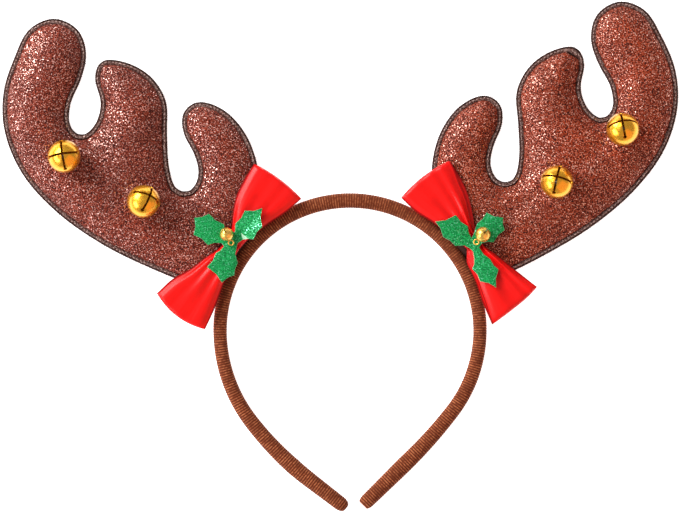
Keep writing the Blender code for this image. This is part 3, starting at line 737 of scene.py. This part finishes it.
for side in ("left", "right"):
    chance = random.Random(side)
    node = f"antler_{side}"

    pad = solid_copy(node)
    outer, inner, seam_points, hem_faces = hem_edges(pad)
    hem = new_piece("hem", pad.data.copy())

    # The stuffed part, inside the seam
    kept_faces(pad, hem_faces, keep=False)
    for vertex in pad.data.vertices:
        if abs(vertex.co.z - SEAM_HEIGHT) < SEAM_THICKNESS:
            vertex.co.z = SEAM_HEIGHT + (vertex.co.z - SEAM_HEIGHT) * SEAM_SPREAD
    closed_across(pad)
    pad.data.remesh_voxel_size = PAD_VOXEL
    pick_only(pad)
    bpy.ops.object.voxel_remesh()
    add_modifier(pad, "SMOOTH", factor=0.5, iterations=3)
    blown_up(pad, closed_curve(inner, 1.0 * MM))
    add_modifier(pad, "SMOOTH", factor=0.5, iterations=2)
    drawn_out(pad, seam_points)
    subdivided(pad, 1)
    centres = [bell_centre(side, row) for row in ("upper", "lower")]
    valley = [Vector((x, y)) * MM for x, y in VALLEYS[side]]
    valley = [a.lerp(b, step / 12) for a, b in zip(valley, valley[1:]) for step in range(12)]
    to_valley = nearest_finder([Vector((*spot, 0)) for spot in valley])
    shaped = []
    for spot in [vertex.co.copy() for vertex in pad.data.vertices]:
        # Soft unevenness of the stuffing, the valley, and a dent under each bell
        lump = noise.noise(spot / LUMP_SPAN) * LUMP_HEIGHT
        dip = math.exp(-(((spot - to_valley(spot)).xy.length / VALLEY_WIDTH) ** 2)) * VALLEY_DEPTH
        beside = min((spot - centre).xy.length for centre in centres) / BELL_RADIUS
        dip *= eased((beside - 0.5) / 0.9)
        spot.z += (lump - dip) * eased((spot.z - SEAM_HEIGHT) / SHAPED_ABOVE)
        for centre in centres:
            away = spot - centre
            near = BELL_RADIUS + BELL_CLEARANCE
            if away.length < near and away.z < 0:
                spot.z = centre.z - math.sqrt(near**2 - away.xy.length_squared)
        shaped += (spot.x, spot.y, max(spot.z, 0.0))
    pad.data.vertices.foreach_set("co", shaped)
    pad.data.update()
    smooth_shaded(pad, 80.0)
    finished(pad, f"antler_pad_{side}", antler_glitter[side], "glitter_cloth", node)

    # The hem: both cloths pressed flat, their raw edges a little apart
    kept_faces(hem, hem_faces, keep=True)
    edge = closed_curve(outer, HEM_STEP)
    to_edge = nearest_finder(edge)
    to_seam = nearest_finder(closed_curve(inner, HEM_STEP))
    sunk = hem.data.attributes.new("sunk", "FLOAT", "POINT")
    shaped = []
    for number, spot in enumerate([vertex.co.copy() for vertex in hem.data.vertices]):
        rim, seam = to_edge(spot), to_seam(spot)
        at_seam = (spot - seam).xy.length < (spot - rim).xy.length
        sunk.data[number].value = 1.0 if at_seam else 0.0
        if at_seam:
            inward = (seam - rim).xy.normalized()
            spot.x += inward.x * HEM_TUCK
            spot.y += inward.y * HEM_TUCK
            spot.z = SEAM_HEIGHT + (spot.z - SEAM_HEIGHT) * HEM_PINCH
        shaped += tuple(spot)
    hem.data.vertices.foreach_set("co", shaped)
    closed_across(hem)
    subdivided(hem, 2)
    smooth_shaded(hem, 50.0)
    finished(hem, f"antler_hem_{side}", hem_cloth, "glitter_cloth", node)

    line = [a.lerp(b, STITCH_SHARE) for a, b in zip(inner, outer)]
    line = [Vector((p.x, p.y, SEAM_HEIGHT + SEAM_THICKNESS / 2)) for p in line]
    line = closed_curve(line, STITCH_PITCH)
    stitches = along_line(stitch, line, "stitches", STITCH_LIFT, STITCH_WOBBLE, chance)
    finished(stitches, f"antler_stitches_{side}", stitch_thread, "glitter_cloth")

    fibres = frayed_fibres(edge, [to_seam(p) for p in edge], "fray", chance)
    finished(fibres, f"antler_fray_{side}", fray_fibre, "glitter_cloth")
bpy.data.objects.remove(stitch)


# Large jingle bells
# Each is one round of gilt brass, cut into four petals that are pressed up into a ball and left
# with two crossed slots. The loop at its back is sewn to the antler. A loose steel ball rings it.

BELL_WALL = 0.8 * MM
BELL_SLOT = 1.1 * MM
BELL_SLOT_ANGLE = 61.0
BELL_HOLE = 1.9 * MM
BELL_LOOP = 1.4 * MM
BELL_WIRE = 0.45 * MM
GILT_COLOUR = (0.86, 0.41, 0.020)
STEEL_DARK = (0.28, 0.25, 0.22)
STEEL_PALE = (0.55, 0.53, 0.50)


def bevelled(piece, width, sharp):
    limit = math.radians(sharp)
    add_modifier(piece, "BEVEL", width=width, segments=2, limit_method="ANGLE", angle_limit=limit)


def jingle_bell(radius, wall, slot, slot_angle, hole, loop_radius, loop_wire):
    """A slotted hollow bell at the origin, its slots crossing at the top and its loop below."""
    bpy.ops.object.select_all(action="DESELECT")
    bpy.ops.mesh.primitive_uv_sphere_add(segments=48, ring_count=32, radius=radius)
    bell = bpy.context.object
    # The petals are pressed a little flat between the slots
    for vertex in bell.data.vertices:
        around = math.atan2(vertex.co.y, vertex.co.x)
        flat = math.hypot(vertex.co.x, vertex.co.y) / radius
        up = eased(vertex.co.z / radius * 1.4)
        vertex.co *= 1 - 0.018 * up * eased(flat * 2.2) * (1 - abs(math.cos(2 * around)))
    add_modifier(bell, "SOLIDIFY", thickness=wall, offset=-1.0, use_even_offset=True)
    foot = radius * math.cos(math.radians(slot_angle))
    reach = radius * math.sin(math.radians(slot_angle))
    for turn in (0.0, math.pi / 2):
        bpy.ops.object.select_all(action="DESELECT")
        bpy.ops.mesh.primitive_cube_add(size=1.0, location=(0, 0, foot + radius), rotation=(0, 0, turn))
        cutter = bpy.context.object
        cutter.scale = (2 * reach, slot, 2 * radius)
        bake_place(cutter)
        add_modifier(bell, "BOOLEAN", operation="DIFFERENCE", object=cutter)
        bpy.data.objects.remove(cutter)
        for end in (-1, 1):
            out = Vector((math.cos(turn) * end, math.sin(turn) * end, 0))
            angle = math.radians(slot_angle)
            axis = out * math.sin(angle) + Vector((0, 0, math.cos(angle)))
            bpy.ops.object.select_all(action="DESELECT")
            bpy.ops.mesh.primitive_cylinder_add(
                vertices=16,
                radius=hole / 2,
                depth=radius,
                location=axis * radius,
                rotation=axis.to_track_quat("Z", "Y").to_euler(),
            )
            cutter = bpy.context.object
            bake_place(cutter)
            add_modifier(bell, "BOOLEAN", operation="DIFFERENCE", object=cutter)
            bpy.data.objects.remove(cutter)
    bevelled(bell, wall * 0.28, 40.0)
    middle = -(radius - wall * 0.55 + loop_radius + loop_wire)
    bpy.ops.object.select_all(action="DESELECT")
    bpy.ops.mesh.primitive_torus_add(
        major_radius=loop_radius,
        minor_radius=loop_wire,
        major_segments=28,
        minor_segments=12,
        location=(0, 0, middle),
        rotation=(math.pi / 2, 0, 0),
    )
    loop = bpy.context.object
    bake_place(loop)
    pick_only(loop, bell)
    bpy.ops.object.join()
    smooth_shaded(bell, 35.0)
    return bell


def leaned(lean, lean_direction, turn):
    hinge = heading(math.radians(lean_direction + 90))
    over = Matrix.Rotation(math.radians(lean), 4, Vector((*hinge, 0)))
    return over @ Matrix.Rotation(math.radians(turn), 4, "Z")


def placed_copy(model, name, place, pose):
    piece = new_piece(name, model.data.copy())
    piece.data.transform(Matrix.Translation(place) @ pose)
    return piece


def gilt_material(name, colour, roughness):
    """Bright plating over pressed brass: fine rub marks, faint tarnish and soft ripples."""
    made, tree, shader = new_material(name, colour, roughness, 0.86)
    place = object_place(tree)
    tarnish = ranged(tree, speckle(tree, place, 320.0, 4.0), 0.45, 0.75, 0.0, 0.25)
    tone = mixed(tree, tarnish, colour, (colour[0] * 0.86, colour[1] * 0.70, colour[2] * 0.45))
    tree.links.new(tone, shader.inputs["Base Color"])
    rubbed = speckle(tree, place, 1500.0, 3.0)
    rough = ranged(tree, rubbed, 0.3, 0.75, roughness * 0.75, roughness * 1.5)
    tree.links.new(rough, shader.inputs["Roughness"])
    shader.inputs["Coat Weight"].default_value = 0.4
    shader.inputs["Coat Roughness"].default_value = 0.12
    bumped(tree, shader, speckle(tree, place, 200.0, 1.0), 0.12, 0.6 * MM)
    return made


gilt = gilt_material("bell_gilt", GILT_COLOUR, 0.27)
steel, tree, shader = new_material("pellet_steel", STEEL_PALE, 0.4, 1.0)
dull = mottled(tree, shader, 900.0, STEEL_DARK, STEEL_PALE, detail=4.0)
tree.links.new(ranged(tree, dull, 0.3, 0.7, 0.3, 0.55), shader.inputs["Roughness"])

bell_model = jingle_bell(
    BELL_RADIUS, BELL_WALL, BELL_SLOT, BELL_SLOT_ANGLE, BELL_HOLE, BELL_LOOP, BELL_WIRE
)
for name, (x, y, lean, lean_direction, turn) in BELLS.items():
    centre = bell_centre(*name.split("_"))
    bell = placed_copy(bell_model, "bell", centre, leaned(lean, lean_direction, turn))
    smooth_shaded(bell, 35.0)
    finished(bell, f"gilt_bell_{name}", gilt, "bell_gilt", f"bell_{name}")
    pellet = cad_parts[f"pellet_{name}"]
    for material_slot in pellet.material_slots:
        material_slot.material = steel
bpy.data.objects.remove(bell_model)


# Glue, darkened as painted shade
# Brown hot glue holds each antler's foot to the hoop, under the bow. It is squeezed into the
# narrow space between them. How far it reaches is a guess. Its near-black brown is partly the
# glue's own and partly painted shade, for the shadow in the gap between foot and hoop.

GLUE_PLACES = {"left": (-55.4, -22.4), "right": (52.6, -18.5)}
GLUE_SIZE = (4.6 * MM, 14.0 * MM, 3.0 * MM)
GLUE_DROP = 0.5 * MM
# Painted shade: the glue's colour is darkened to stand for the shadow in the gap
GLUE_SHADE_DARK = (0.030, 0.008, 0.004)
GLUE_SHADE_PALE = (0.085, 0.020, 0.010)

glue_and_shade, tree, shader = new_material("hot_glue_and_shade", GLUE_SHADE_PALE, 0.8)
mottled(tree, shader, 500.0, GLUE_SHADE_DARK, GLUE_SHADE_PALE)
for side, (x, y) in GLUE_PLACES.items():
    outward = Vector((x * MM, y * MM + CROWN_RADIUS))
    bpy.ops.object.select_all(action="DESELECT")
    bpy.ops.mesh.primitive_uv_sphere_add(
        segments=32,
        ring_count=16,
        radius=1.0,
        location=(x * MM, y * MM, SEAM_HEIGHT - GLUE_DROP),
        rotation=(0.0, 0.0, math.atan2(outward.y, outward.x)),
    )
    blob = bpy.context.object
    blob.scale = GLUE_SIZE
    bake_place(blob)
    smooth_shaded(blob)
    finished(blob, f"glue_{side}", glue_and_shade, "band_cover")


# Bows
# A length of red satin ribbon is laid in a flat loop to each side, drawn together in pleats in the
# middle and glued down. The loops keep soft folds that fan out from the gather.

RIBBON_THICKNESS = 0.35 * MM
RIBBON_WIDTH = 30.0 * MM
SELVEDGE = (0.4 * MM, 0.95 * MM)
THREAD_RELIEF = 0.08 * MM
BOW_LOW = 9.0 * MM
BOW_HIGH = 10.7 * MM
BOW_RISE = 14.0 * MM
BOW_THICKNESS = 3.3 * MM
SATIN_COLOUR = (0.80, 0.0055, 0.004)
SATIN_DEEP_COLOUR = (0.34, 0.001, 0.001)
BOWS = {"left": (-59.0, -21.3), "right": (62.0, -21.3)}
WINGS = {
    # side: for its two wings, which way each points and how far the middle of its end bulges
    "left": ((53.5, 1.5), (233.2, 3.2)),
    "right": ((127.4, 1.8), (310.0, 1.0)),
}
WING_WIDTHS = {
    # side: for its two wings, rows of distance out, half width on its left, half width on its right
    "left": (
        ((0, 3.2, 4.6), (6, 4.8, 5.6), (12, 8.3, 7.2), (19, 11.8, 9.2), (28, 13.8, 12.4))
        + ((38.3, 14.7, 14.7),),
        ((0, 4.6, 3.2), (7, 5.8, 4), (14, 7.6, 6.4), (23, 10.2, 9), (32, 12.8, 13), (42.4, 15, 15)),
    ),
    "right": (
        ((0, 4.6, 3.2), (6, 5.9, 5.3), (13, 8.0, 8.8), (21, 10.3, 12.3), (30, 13.6, 14.4))
        + ((40, 15.2, 15.3),),
        ((0, 3.2, 4.6), (5, 3.2, 9), (11, 4.6, 10.6), (17, 5.8, 12.4), (25, 7.5, 15.6), (36.8, 10, 19.2)),
    ),
}
# The folds of each wing's front: where across it each lies, from -1 to 1, how high, and how wide
FOLDS = {
    "left": (
        ((-0.62, 1.4, 0.20), (-0.08, 1.7, 0.27), (0.55, 1.7, 0.28)),
        ((-0.70, 1.3, 0.20), (-0.05, 1.9, 0.30), (0.66, 1.5, 0.22)),
    ),
    "right": (
        ((-0.70, 1.9, 0.13), (-0.22, 1.9, 0.22), (0.45, 1.8, 0.26)),
        ((-0.55, 1.9, 0.22), (0.12, 2.0, 0.24), (0.74, 1.8, 0.14)),
    ),
}
# For each wing, how much narrower its front layer is on its left and on its right
FRONT_INSETS = {"left": ((0.5, 0.4), (0.4, 0.6)), "right": ((0.5, 2.0), (0.5, 1.3))}
RIBBON_STEPS = 240
RIBBON_COLUMNS = 64


def smooth_between(rows, at, column):
    """As between, but eased at each row so that an edge has no corners."""
    places = [row[0] for row in rows]
    values = [row[column] for row in rows]
    slopes = [0.0] * len(rows)
    for i in range(len(rows)):
        low, high = max(i - 1, 0), min(i + 1, len(rows) - 1)
        slopes[i] = (values[high] - values[low]) / (places[high] - places[low])
    for i in range(len(rows) - 1):
        if at <= places[i + 1] or i == len(rows) - 2:
            span = places[i + 1] - places[i]
            t = min(max((at - places[i]) / span, 0.0), 1.0)
            return (
                (2 * t**3 - 3 * t**2 + 1) * values[i]
                + (t**3 - 2 * t**2 + t) * span * slopes[i]
                + (3 * t**2 - 2 * t**3) * values[i + 1]
                + (t**3 - t**2) * span * slopes[i + 1]
            )
    return values[-1]


def ribbon_point(side, travel, across):
    """A point of the looped ribbon. Travel runs 0 to 4: out, back under, out again, back over."""
    leg = min(int(travel), 3)
    share = travel - leg
    number = 0 if leg < 2 else 1
    front = leg in (0, 3)
    out_share = share if leg in (0, 2) else 1 - share
    angle, bulge = WINGS[side][number]
    rows = WING_WIDTHS[side][number]
    reach = rows[-1][0]
    out = reach * out_share
    ahead = heading(math.radians(angle))
    left = Vector((-ahead.y, ahead.x))
    across = across * (1 if number == 0 else -1)
    half = smooth_between(rows, out, 1 if across > 0 else 2)
    if front:
        # The front layer is drawn in a little more than the one behind it
        inset = FRONT_INSETS[side][number][0 if across > 0 else 1]
        half -= inset * eased(out / 8) * (1 - eased(out_share * 3 - 2))
    along = out + bulge * out_share * (1 - across * across)
    low = BOW_LOW + (BOW_HIGH - BOW_LOW) * eased(out * MM / BOW_RISE)
    # The loop closes in a round fold at its end, and is pinched at the gather
    fold = math.sqrt(max(1 - (1 - min((1 - out_share) * reach / 2.2, 1)) ** 2, 0.0))
    open_by = BOW_THICKNESS * (0.55 + 0.45 * eased(out / 10)) - RIBBON_THICKNESS
    middle = low + RIBBON_THICKNESS / 2 + open_by / 2
    height = middle + open_by / 2 * fold * (1 if front else -1)
    if front:
        fade = eased(out / 3) * (0.85 - 0.5 * eased(out_share))
        for place, size, spread in FOLDS[side][number]:
            drift = place * (1 - 0.1 * out_share)
            height += size * MM * fade * math.exp(-(((across - drift) / spread) ** 2))
        height -= 0.45 * MM * fade
        # The selvedges curl down towards the back layer
        height -= open_by * 0.35 * eased((abs(across) - 0.75) / 0.25) * fold
    else:
        height = max(height, low)
    # Gathered pleats close to the middle
    pleat = math.cos(across * math.pi * 4.5) * 0.55 * MM * (1 - eased((out - 1.0) / 9))
    height += pleat * (0.5 if front else 0.0)
    spot = Vector(BOWS[side]) * MM + (ahead * along + left * across * half) * MM
    return Vector((spot.x, spot.y, height))


satin, tree, shader = new_material("red_satin", SATIN_COLOUR, 0.33)
cloth_place = add_node(tree, "ShaderNodeUVMap", uv_map="ribbon").outputs[0]
parts = add_node(tree, "ShaderNodeSeparateXYZ", [(0, cloth_place)])
# Satin's floats are fine threads along the ribbon, too fine to see but enough to streak its shine
links = [("Vector", cloth_place), ("Scale", (60.0, 2200.0, 1.0))]
thread = speckle(tree, add_node(tree, "ShaderNodeMapping", links).outputs[0], 1.0)
cloud = speckle(tree, cloth_place, 90.0, 3.0)
to_far_edge = maths(tree, "SUBTRACT", RIBBON_WIDTH, parts.outputs[1])
from_edge = maths(tree, "MINIMUM", parts.outputs[1], to_far_edge)
selvedge = ranged(tree, from_edge, *SELVEDGE, 1.0, 0.0)
tone = mixed(tree, ranged(tree, cloud, 0.35, 0.65, 0.0, 0.22), SATIN_COLOUR, SATIN_DEEP_COLOUR)
tone = mixed(tree, selvedge, tone, SATIN_DEEP_COLOUR)
tree.links.new(tone, shader.inputs["Base Color"])
tree.links.new(ranged(tree, thread, 0.3, 0.7, 0.28, 0.42), shader.inputs["Roughness"])
height = maths(tree, "ADD", maths(tree, "MULTIPLY", thread, 0.4), selvedge)
bumped(tree, shader, height, 0.3, THREAD_RELIEF)
shader.inputs["Specular IOR Level"].default_value = 0.24

for side in ("left", "right"):
    bpy.ops.object.select_all(action="DESELECT")
    bpy.ops.mesh.primitive_grid_add(x_subdivisions=RIBBON_STEPS, y_subdivisions=RIBBON_COLUMNS, size=1.0)
    ribbon = bpy.context.object
    strip_length = 2 * MM * (WING_WIDTHS[side][0][-1][0] + WING_WIDTHS[side][1][-1][0])
    flat_places = [vertex.co.copy() for vertex in ribbon.data.vertices]
    for vertex, place in zip(ribbon.data.vertices, flat_places):
        vertex.co = ribbon_point(side, (place.x + 0.5) * 4, place.y * 2)
    uv = ribbon.data.uv_layers.active
    uv.name = "ribbon"
    for loop in ribbon.data.loops:
        place = flat_places[loop.vertex_index]
        uv.data[loop.index].uv = ((place.x + 0.5) * strip_length, (place.y + 0.5) * RIBBON_WIDTH)
    # The strip's two ends meet under the gather
    edit_mesh(
        ribbon,
        lambda: bpy.ops.mesh.remove_doubles(threshold=0.02 * MM),
        lambda: bpy.ops.mesh.normals_make_consistent(inside=False),
    )
    add_modifier(ribbon, "SOLIDIFY", thickness=RIBBON_THICKNESS, offset=0.0)
    smooth_shaded(ribbon, 60.0)
    finished(ribbon, f"ribbon_bow_{side}", satin, "ribbon_satin", f"bow_{side}")


# Holly
# Three leaves for each sprig, punched from thin green foam faced with glitter, and glued at their
# necks. The cut edges show the paler foam, and the tips curl up from the ribbon.

LEAF_GREEN = (0.002, 0.37, 0.073)
LEAF_DARK = (0.001, 0.130, 0.028)
LEAF_PALE = (0.30, 0.86, 0.62)
LEAF_GLINT = (0.50, 1.0, 0.90)
LEAF_FLAKE_SIZE = 0.60 * MM
LEAF_BEVEL = 0.16 * MM
LEAF_FACE_LEVEL = 0.75
FOAM_DARK = (0.16, 0.46, 0.24)
FOAM_PALE = (0.52, 0.76, 0.56)

leaf_glitter = glitter_material(
    "leaf_glitter", LEAF_FLAKE_SIZE, 0.22, LEAF_DARK, LEAF_GREEN, LEAF_PALE, 0.11, 0.5, LEAF_GLINT
)
leaf_foam, tree, shader = new_material("leaf_foam", FOAM_PALE, 0.75)
mottled(tree, shader, 2500.0, FOAM_DARK, FOAM_PALE)

# The left sprig's upper right leaf is folded along its middle. A point on the fold, which way it
# runs, and how far the leaf reaches along it and to each side
CREASE_AT = Vector((-49.2, -10.6, 0.0)) * MM
CREASE_ALONG = heading(math.radians(48.5))
CREASE_REACH = 9.0 * MM
CREASE_WIDTH = 7.5 * MM
CREASE_LIFTS = (0.62, 0.2)

for side in ("left", "right"):
    holly = solid_copy(f"holly_{side}")
    if side == "left":
        across = Vector((CREASE_ALONG.y, -CREASE_ALONG.x, 0.0))
        edit_mesh(holly, lambda: bpy.ops.mesh.bisect(plane_co=CREASE_AT, plane_no=across))
        for vertex in holly.data.vertices:
            away = vertex.co - CREASE_AT
            off = away.dot(across)
            along = abs(away.xy.dot(CREASE_ALONG))
            if along < CREASE_REACH and abs(off) < CREASE_WIDTH:
                fade = 1 - eased((along - 0.8 * CREASE_REACH) / (0.2 * CREASE_REACH))
                vertex.co.z += fade * (off * CREASE_LIFTS[0] if off > 0 else -off * CREASE_LIFTS[1])
    limits = {"face_threshold": math.radians(5), "shape_threshold": math.radians(60)}
    edit_mesh(holly, lambda: bpy.ops.mesh.tris_convert_to_quads(**limits))
    bevelled(holly, LEAF_BEVEL, 50.0)
    smooth_shaded(holly, 35.0)
    finished(holly, f"holly_leaves_{side}", leaf_glitter, "holly_card", f"holly_{side}")
    holly.data.materials.append(leaf_foam)
    for polygon in holly.data.polygons:
        polygon.material_index = 1 if abs(polygon.normal.z) < LEAF_FACE_LEVEL else 0


# Small bells
# A gilt bell on each sprig, like the large ones but smaller and paler. It lies on its side, with
# its loop flat on the leaves where it is sewn.

SMALL_BELLS = {
    # side: x, y, z, radius, lean, direction of the lean
    "left": (-61.6, -16.9, 17.5, 3.4, 80.0, 117.0),
    "right": (66.4, -17.0, 18.0, 3.75, 80.0, 48.0),
}
PALE_GILT_COLOUR = (0.90, 0.54, 0.10)

pale_gilt = gilt_material("small_bell_gilt", PALE_GILT_COLOUR, 0.28)
for side, (x, y, z, radius, lean, lean_direction) in SMALL_BELLS.items():
    small = jingle_bell(radius * MM, 0.4 * MM, 0.55 * MM, 60.0, 1.1 * MM, 1.25 * MM, 0.35 * MM)
    pose = leaned(lean, lean_direction, lean_direction + 90)
    small.data.transform(Matrix.Translation(Vector((x, y, z)) * MM) @ pose)
    finished(small, f"gilt_small_bell_{side}", pale_gilt, "small_bell_gilt", f"small_bell_{side}")


# Studio
# A white table seen from straight above, two soft lights from the left, and a large warm fill
# from the lower right. The world round it is plain white.

CAMERA_HEIGHT = 6.0
VIEW_WIDTH = 0.340
VIEW_CENTRE = Vector((-0.005, -0.02825, 0.0))
SENSOR = 36.0
TABLE_DARK = (0.925, 0.925, 0.925)
TABLE_PALE = (0.94, 0.94, 0.94)

bpy.ops.object.select_all(action="DESELECT")
bpy.ops.mesh.primitive_plane_add(size=14.0, location=(0, 0, -0.0003))
floor = bpy.context.object
floor.name = "table"
pale, tree, shader = new_material("table_white", TABLE_PALE, 0.9)
mottled(tree, shader, 3.0, TABLE_DARK, TABLE_PALE)
shader.inputs["Specular IOR Level"].default_value = 0.1
# The table is lit a little from below, so that shadows on it stay faint
shader.inputs["Emission Color"].default_value = (1.0, 1.0, 1.0, 1.0)
shader.inputs["Emission Strength"].default_value = 0.9
floor.data.materials.append(pale)

camera_data = bpy.data.cameras.new("camera")
camera_data.sensor_width = SENSOR
camera_data.lens = SENSOR * (CAMERA_HEIGHT - 0.008) / VIEW_WIDTH
camera_data.clip_start = 0.1
camera_data.clip_end = 20.0
camera = new_piece("camera", camera_data)
camera.location = VIEW_CENTRE + Vector((0, 0, CAMERA_HEIGHT))
bpy.context.scene.camera = camera


def soft_light(name, place, size, power, colour):
    """An area light that faces the origin."""
    lamp = bpy.data.lights.new(name, "AREA")
    lamp.shape = "RECTANGLE"
    lamp.size, lamp.size_y = size
    lamp.energy = power
    lamp.color = colour
    light = new_piece(name, lamp)
    light.location = place
    light.rotation_euler = (-Vector(place)).to_track_quat("-Z", "Y").to_euler()


soft_light("key", (-2.1, 1.55, 1.7), (1.8, 1.8), 128.0, (1.0, 1.0, 1.0))
soft_light("side", (-2.7, -1.0, 1.6), (1.9, 1.3), 54.0, (1.0, 0.93, 0.97))
soft_light("warm_fill", (2.1, -1.8, 2.1), (4.0, 4.0), 39.0, (1.0, 0.36, 0.13))
world = bpy.data.worlds.new("studio")
bpy.context.scene.world = world
world.use_nodes = True
world.node_tree.nodes["Background"].inputs["Color"].default_value = (1.0, 1.0, 1.0, 1.0)
world.node_tree.nodes["Background"].inputs["Strength"].default_value = 0.38
bpy.context.scene.view_settings.view_transform = "Standard"
